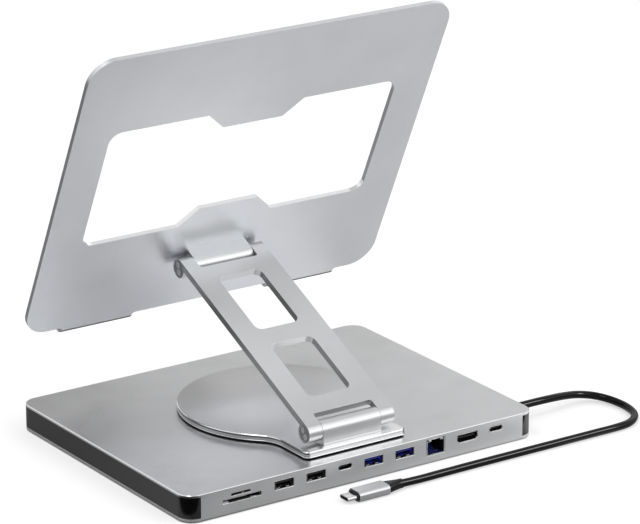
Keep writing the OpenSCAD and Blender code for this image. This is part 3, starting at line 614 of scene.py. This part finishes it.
# painted light: the USB 3 liners are a brighter blue, lifting the shaded cavity
for name, look, ports, slot in (("usb_liner_black", "black", PORT_A2, "socket_black"), ("usb_liner_blue", "blue_in", PORT_A3, "socket_blue")):
    bm = bmesh.new()
    for px in ports:
        rounded_box(bm, (px - 6.2, yw + 3.6, USB_Z - 2.48), (px - 4.25, yw + 11.2, USB_Z - 2.2), 0.08)
        rounded_box(bm, (px + 4.25, yw + 3.6, USB_Z - 2.48), (px + 6.2, yw + 11.2, USB_Z - 2.2), 0.08)
        rounded_box(bm, (px - 2.0, yw + 3.6, USB_Z - 2.48), (px + 2.0, yw + 11.2, USB_Z - 2.2), 0.08)
        rounded_box(bm, (px - 6.2, yw + 7.2, USB_Z - 2.48), (px + 6.2, yw + 11.2, USB_Z - 2.12), 0.08)
        for side in (-1, 1):
            a, b = sorted((px + side * 6.21, px + side * 5.95))
            rounded_box(bm, (a, yw + 2.6, USB_Z - 2.1), (b, yw + 11.2, USB_Z + 2.2), 0.06)
    liner = add_mesh(name, bm, look, "base", 40)

# rolled rims: a fine polished lip round the lower half of each socket mouth
def rim(bm, outline, y0, depth, thick):
    """A rounded lip that follows an outline of (x, z) in millimetres, centred on the mouth's edge."""
    n = len(outline)
    prof = [(math.cos(a), math.sin(a)) for a in (2 * math.pi * k / 8 for k in range(8))]
    rings = []
    for i in range(n):
        a, b, c = (Vector(outline[(i + j) % n]) for j in (-1, 0, 1))
        t1, t2 = (b - a).normalized(), (c - b).normalized()
        n1, n2 = Vector((-t1.y, t1.x)), Vector((-t2.y, t2.x))
        m = (n1 + n2).normalized()
        m = m / max(0.5, m.dot(n1))
        rings.append([((b.x + m.x * u * thick / 2) * MM, (y0 + v * depth / 2) * MM, (b.y + m.y * u * thick / 2) * MM) for u, v in prof])
    vs = [[bm.verts.new(q) for q in ring] for ring in rings]
    for i in range(n):
        a, b = vs[i], vs[(i + 1) % n]
        for k in range(8):
            bm.faces.new((a[k], a[(k + 1) % 8], b[(k + 1) % 8], b[k]))


def shifted(pts, x, z):
    return [(x + u, z + v) for u, v in pts]


bm = bmesh.new()
for px in PORT_A2 + PORT_A3:
    rim(bm, shifted(superellipse(12.8, 5.3, 0.35, 3), px, USB_Z), yw + 0.10, 0.34, 0.30)
for px in (-14.2, 91.4):
    rim(bm, shifted(superellipse(9.1, 3.1, 1.54, 8), px, 11.4), yw + 0.10, 0.34, 0.28)
h = [(-7.2, 2.4), (7.2, 2.4), (7.2, -1.05), (5.85, -2.4), (-5.85, -2.4), (-7.2, -1.05)][::-1]
rim(bm, shifted(h, 71.0, 10.5), yw + 0.10, 0.34, 0.28)
n = [(-5.95, 5.0), (5.95, 5.0), (5.95, 13.4), (3.3, 13.4), (3.3, 14.5), (-3.3, 14.5), (-3.3, 13.4), (-5.95, 13.4)]
rim(bm, shifted(n, 48.6, 0.0), yw + 0.10, 0.34, 0.30)
for side in (-1, 1):
    a, b = sorted((48.6 + side * 3.45, 48.6 + side * 4.75))
    rounded_box(bm, (a, yw + 0.0, 13.45), (b, yw + 0.5, 14.45), 0.06)
rims = add_mesh("socket_rims", bm, "cut", "base", 60)

# card slots: sprung cover strip, guide rail and ejector rail behind the mouths
bm = bmesh.new()
sx, sz = -83.5, 8.5
rounded_box(bm, (sx - 10.8, yw + 0.7, sz + 0.62), (sx + 3.6, yw + 6, sz + 1.06), 0.08)
rounded_box(bm, (sx + 3.9, yw + 1.3, sz + 0.72), (sx + 12.0, yw + 6, sz + 1.06), 0.08)
strip(bm, [(yw + 0.8 + 0.5 * k, sz - 1.0 + 0.32 * math.sin(k / 6 * math.pi)) for k in range(7)], sx + 6.0, sx + 9.9, 0.2)
bmp = [(-12.3, -1.05), (-8.4, -1.05), (-9.3, 0.12), (-12.3, 0.12)]
loft(bm, [[((sx + u) * MM, (yw + d) * MM, (sz + v) * MM) for u, v in bmp] for d in (0.7, 6.0)])
rounded_box(bm, (-84.3 + 0.9, yw + 0.6, 11.8 - 0.55), (-84.3 + 2.2, yw + 3.0, 11.8 - 0.05), 0.08)
rails = add_mesh("card_rails", bm, "socket", "base", 40)

# network socket: light windows beside the latch notch
bm = bmesh.new()
for side in (-1, 1):
    revolve = [(math.cos(2 * math.pi * k / 20) * 0.46, math.sin(2 * math.pi * k / 20) * 0.46) for k in range(20)]
    loft(bm, [[((48.6 + side * 5.35 + u) * MM, (yw + d) * MM, (13.95 + v) * MM) for u, v in revolve] for d in (-0.02, 1.2)])
windows = add_mesh("network_light_windows", bm, "black", "base", 40)

# cord gland: flange, short neck and five ribs that let the cord bend
bm = bmesh.new()
gy, gz = -65 + BY / MM, 8.7
prof = [(115.4, 2.45), (115.4, 4.4), (117.7, 4.4), (117.7, 3.15), (119.95, 3.15), (120.12, 3.05)]
x = 120.25
for k in range(5):
    r = 3.0 - 0.07 * k
    prof += [(x, r), (x + 0.45, r), (x + 0.53, r - 0.32), (x + 0.74, r - 0.34)]
    x += 0.83
prof += [(124.4, 2.68), (124.5, 2.6), (124.5, 2.35)]
revolve_x(bm, prof, gy, gz, 48)
gland = add_mesh("cord_gland_ribbed", bm, "relief", "base", 35)
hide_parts("cord_gland")

# painted shade: a flat black ring under the turntable, set back from its edge, that darkens the gap beneath it
bm = bmesh.new()
gap_shade_z = tl.z - 0.52 * MM
outer, inner = inset(edge, 1.2 * MM), inset(edge, 2.6 * MM)
vs = [[bm.verts.new((q.x, q.y, z)) for q in ring] for ring, z in ((outer, gap_shade_z), (outer, tl.z + 0.38 * MM), (inner, tl.z + 0.02 * MM), (inner, gap_shade_z))]
for a, b in zip(vs, vs[1:] + vs[:1]):
    for i in range(len(a)):
        j = (i + 1) % len(a)
        bm.faces.new((a[i], a[j], b[j], b[i]))
gap_shade_ring = add_mesh("turntable_gap_shade_ring", bm, "shadow", "turntable", 30)

# network socket: the slanted contact comb
bm = bmesh.new()
nx = 48.6
loft(bm, [[((nx + u) * MM, (yw + d) * MM, z * MM) for d, z in ((1.6, 5.45), (9.5, 5.45), (9.5, 9.6), (8.6, 9.6))] for u in (-5.75, 1.4)])
comb = add_mesh("network_comb", bm, "navy", "base", 40)

# plug strain relief: a flat wedge that narrows to the cord
PY, PZ = -113.3 + BY / MM, 3.1
bm = bmesh.new()
rings = []
prof = []
for i in range(41):
    t = i / 40
    x = -2.0 + 11.4 * t
    e = max(0.0, min(1.0, (x + 1.2) / 9.0))
    e = e * e * (3 - 2 * e) * 0.55 + e * 0.45
    w = 9.8 * (1 - e) + 5.7 * e
    h = 5.3 * (1 - e) + 5.5 * e
    prof.append((x, w, h))
for x, w, h in prof:
    r = min(w, h) / 2 * 0.98 - 0.02
    rings.append([(x * MM, (PY + a) * MM, (PZ + b) * MM) for a, b in superellipse(w, h, r, 8)])
last = prof[-1]
rings.append([(9.5 * MM, (PY + a) * MM, (PZ + b) * MM) for a, b in superellipse(5.1, 5.0, 2.4, 8)])
loft(bm, rings)
relief = add_mesh("plug_strain_relief", bm, "relief", "base", 50)
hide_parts("plug_relief")


# ---------------------------------------------------------------- floor, light
def plane(name, z, half=8.0):
    me = bpy.data.meshes.new(name)
    me.from_pydata([(-half, -half, z), (half, -half, z), (half, half, z), (-half, half, z)], [], [(0, 1, 2, 3)])
    o = bpy.data.objects.new(name, me)
    scene.collection.objects.link(o)
    return o


def floor():
    """A white glowing sweep whose glow is cut out under the hub as a painted contact shadow, and a greyer card on it
    for the metal to mirror, with a painted glow that stands in for the reflected floor.
    """
    o = plane("floor", 0.0)
    m = Mat("floor_paper", (FLOOR_TONE,) * 3, 0.6)
    cloud = m.noise(400, 2.0)
    m.tint(m.ramp(cloud, 0, 1), (FLOOR_TONE - 0.008,) * 3, (FLOOR_TONE + 0.008,) * 3)
    m.b.inputs["Specular IOR Level"].default_value = 0.0
    m.b.inputs["Emission Color"].default_value = (1, 1, 1, 1)
    geo = m.t.nodes.new("ShaderNodeNewGeometry")
    sep = m.t.nodes.new("ShaderNodeSeparateXYZ")
    m.t.links.new(geo.outputs["Position"], sep.inputs[0])
    ax = m.t.nodes.new("ShaderNodeMath")
    ax.operation = "ABSOLUTE"
    m.t.links.new(sep.outputs["X"], ax.inputs[0])
    ay = m.t.nodes.new("ShaderNodeMath")
    ay.operation = "ABSOLUTE"
    m.t.links.new(m.add(sep.outputs["Y"], -BY), ay.inputs[0])
    r = 9.4 * MM
    in_x = m.add(m.add(ax.outputs[0], r - 120 * MM), 0.0, "MAXIMUM")
    in_y = m.add(m.add(ay.outputs[0], YW - BY + r), 0.0, "MAXIMUM")
    away = m.add(m.add(m.add(in_x, in_x, "MULTIPLY"), m.add(in_y, in_y, "MULTIPLY")), 0.5, "POWER")
    # painted contact shadow: the floor's glow fades from 0.15 mm outside the hub's rounded footprint to nothing 0.8 mm
    # inside it
    glow_outside_painted_shadow = m.ramp(away, 0, 1, r - 0.8 * MM, r + 0.15 * MM)
    m.t.links.new(m.add(glow_outside_painted_shadow, FLOOR_GLOW, "MULTIPLY"), m.b.inputs["Emission Strength"])
    o.data.materials.append(m.m)
    o.visible_glossy = False
    o.visible_shadow = False
    c = plane("floor_card", 0.00005)
    k = Mat("card", (CARD_TONE,) * 3, 0.8)
    k.b.inputs["Specular IOR Level"].default_value = 0.0
    k.b.inputs["Emission Color"].default_value = (1, 1, 1, 1)
    geo = k.t.nodes.new("ShaderNodeNewGeometry")
    sep = k.t.nodes.new("ShaderNodeSeparateXYZ")
    k.t.links.new(geo.outputs["Position"], sep.inputs[0])
    # painted reflection: the card's glow, seen only in the metal's reflections, rises to the right, has a brighter
    # patch at the front right and a strip at the left, and is cut to black beyond the line below
    side = k.ramp(sep.outputs["X"], 0, CARD_RIGHT, -0.15, 0.15)
    corner = k.add(k.ramp(sep.outputs["X"], 0, 0.07, 0.085, 0.115), k.ramp(sep.outputs["X"], 0, CARD_CORNER, 0.116, 0.130))
    corner = k.add(corner, k.ramp(sep.outputs["X"], 1, 0, 0.160, 0.175), "MULTIPLY")
    corner = k.add(corner, k.ramp(sep.outputs["Y"], 1, 0, -0.105, -0.085), "MULTIPLY")
    side = k.add(side, k.add(corner, k.ramp(sep.outputs["Y"], 0, 1, -0.180, -0.165), "MULTIPLY"))
    left = k.add(k.ramp(sep.outputs["X"], 0, 1, -0.17, -0.16), k.ramp(sep.outputs["X"], 1, 0, -0.1235, -0.1223), "MULTIPLY")
    left = k.add(left, k.ramp(sep.outputs["Y"], CARD_LEFT, CARD_LEFT / 2, -0.1, 0.05), "MULTIPLY")
    # beyond a line past the hub's front left corner the card is black, for that glossy corner
    past = k.add(k.add(sep.outputs["X"], 0.83, "MULTIPLY"), k.add(sep.outputs["Y"], 0.56, "MULTIPLY"))
    lit = k.ramp(k.add(past, k.ramp(sep.outputs["Y"], -0.0024, 0.0, -0.1135, -0.1085)), 0, 1, -0.1610, -0.1602)
    k.tint(lit, (0.0,) * 3, (CARD_TONE,) * 3)
    k.t.links.new(k.add(k.add(side, left), lit, "MULTIPLY"), k.b.inputs["Emission Strength"])
    c.data.materials.append(k.m)
    c.visible_camera = c.visible_diffuse = c.visible_transmission = c.visible_shadow = False


FLOOR_TONE, FLOOR_GLOW = 0.66, 0.483
CARD_TONE, CARD_RIGHT, CARD_LEFT, CARD_CORNER = 0.22, 0.45, 0.22, 0.5
floor()


def area(name, pos, target, size, watts, size_y=None):
    d = bpy.data.lights.new(name, "AREA")
    d.shape = "RECTANGLE"
    d.size, d.size_y = size, size_y or size
    d.energy = watts
    o = bpy.data.objects.new(name, d)
    scene.collection.objects.link(o)
    o.location = pos
    o.rotation_mode = "QUATERNION"
    o.rotation_quaternion = (Vector(target) - Vector(pos)).to_track_quat("-Z", "Y")
    return o


# Studio surround: brightness by compass direction (12 steps of 30 degrees from +X towards +Y) at four heights,
# and one value overhead. Soft boxes stand at the front right, and a dark strip lies behind the object near the horizon.
SURROUND = (
    (3, (0.0, 0.05, 0.41, 1.0, 1.17, 0.84, 0.34, 0.0, 0.0, 0.0, 0.04, 0.0)),
    (12, (0.75, 0.19, 0.12, 0.6, 0.52, 0.54, 0.49, 0.57, 0.8, 1.20, 1.74, 1.32)),
    (24, (0.97, 0.61, 0.24, 0.62, 0.95, 0.80, 0.55, 0.61, 0.84, 1.05, 1.52, 1.30)),
    (40, (0.82, 1.18, 0.63, 0.45, 0.85, 1.00, 0.90, 0.56, 0.6, 0.52, 0.54, 0.7)),
)
OVERHEAD = (65, 0.58)


def surround():
    world = bpy.data.worlds.new("studio")
    scene.world = world
    world.use_nodes = True
    t = world.node_tree
    for n in list(t.nodes):
        t.nodes.remove(n)

    def math_node(op, x, y=None):
        n = t.nodes.new("ShaderNodeMath")
        n.operation = op
        for i, q in enumerate((x, y)):
            if q is None:
                continue
            if isinstance(q, (int, float)):
                n.inputs[i].default_value = q
            else:
                t.links.new(q, n.inputs[i])
        return n.outputs[0]

    co = t.nodes.new("ShaderNodeTexCoord")
    sep = t.nodes.new("ShaderNodeSeparateXYZ")
    t.links.new(co.outputs["Generated"], sep.inputs[0])
    az = math_node("ARCTAN2", sep.outputs["Y"], sep.outputs["X"])
    az = math_node("FRACT", math_node("ADD", math_node("MULTIPLY", az, 1 / (2 * math.pi)), 1.0))
    el = math_node("MULTIPLY", math_node("ARCSINE", sep.outputs["Z"]), 180 / math.pi)
    peak = max(max(r) for _, r in SURROUND)
    heights = [h for h, _ in SURROUND] + [OVERHEAD[0]]
    total = None
    for i, h in enumerate(heights):
        if i < len(SURROUND):
            ramp = t.nodes.new("ShaderNodeValToRGB")
            ramp.color_ramp.interpolation = "LINEAR"
            row = SURROUND[i][1]
            els = ramp.color_ramp.elements
            els[0].position, els[1].position = 0.0, 1.0
            els[0].color = els[1].color = (*[row[0] / peak] * 3, 1)
            for k in range(1, 12):
                e = els.new(k / 12)
                e.color = (*[row[k] / peak] * 3, 1)
            t.links.new(az, ramp.inputs[0])
            value = math_node("MULTIPLY", ramp.outputs["Color"], peak)
        else:
            value = OVERHEAD[1]
        up = 1.0
        if i > 0:
            m = t.nodes.new("ShaderNodeMapRange")
            m.inputs["From Min"].default_value, m.inputs["From Max"].default_value = heights[i - 1], h
            t.links.new(el, m.inputs["Value"])
            up = m.outputs["Result"]
        down = 0.0
        if i < len(heights) - 1:
            m = t.nodes.new("ShaderNodeMapRange")
            m.inputs["From Min"].default_value, m.inputs["From Max"].default_value = h, heights[i + 1]
            t.links.new(el, m.inputs["Value"])
            down = m.outputs["Result"]
        part = math_node("MULTIPLY", math_node("SUBTRACT", up, down), value)
        total = part if total is None else math_node("ADD", total, part)
    bg = t.nodes.new("ShaderNodeBackground")
    bg.inputs["Color"].default_value = (1, 1, 1, 1)
    t.links.new(total, bg.inputs["Strength"])
    out = t.nodes.new("ShaderNodeOutputWorld")
    t.links.new(bg.outputs["Background"], out.inputs["Surface"])
    world.cycles.sampling_method = "MANUAL"
    world.cycles.sample_map_resolution = 512


surround()
area("back_right", (0.8, 0.95, 0.4), (0, 0, 0.05), 0.6, 0.31)
area("right_low", (0.95, 0.35, 0.45), (0, 0, 0.05), 0.6, 0.59)
area("key", (0.6, -0.9, 0.9), (0, 0, 0.05), 1.2, 3.30)
area("front_left", (-0.8, -0.8, 1.0), (0, 0, 0.05), 1.0, 0.09)
area("right", (1.1, -0.3, 0.7), (0, 0, 0.05), 1.0, 0.02)
area("top_left", (-0.43, -0.12, 1.1), (0, 0, 0.05), 0.4, 1.74)
glint = area("cord_glint", (0.77, -0.93, 0.74), (0.08, -0.11, 0.0), 0.42, 6.9, 0.32)   # for the bright line along the cord only
glint.light_linking.receiver_collection = bpy.data.collections.new("cord_glint_on")
for o in (cord, gland, relief):
    glint.light_linking.receiver_collection.objects.link(o)
scene.view_settings.view_transform = "Standard"
scene.view_settings.look = "None"
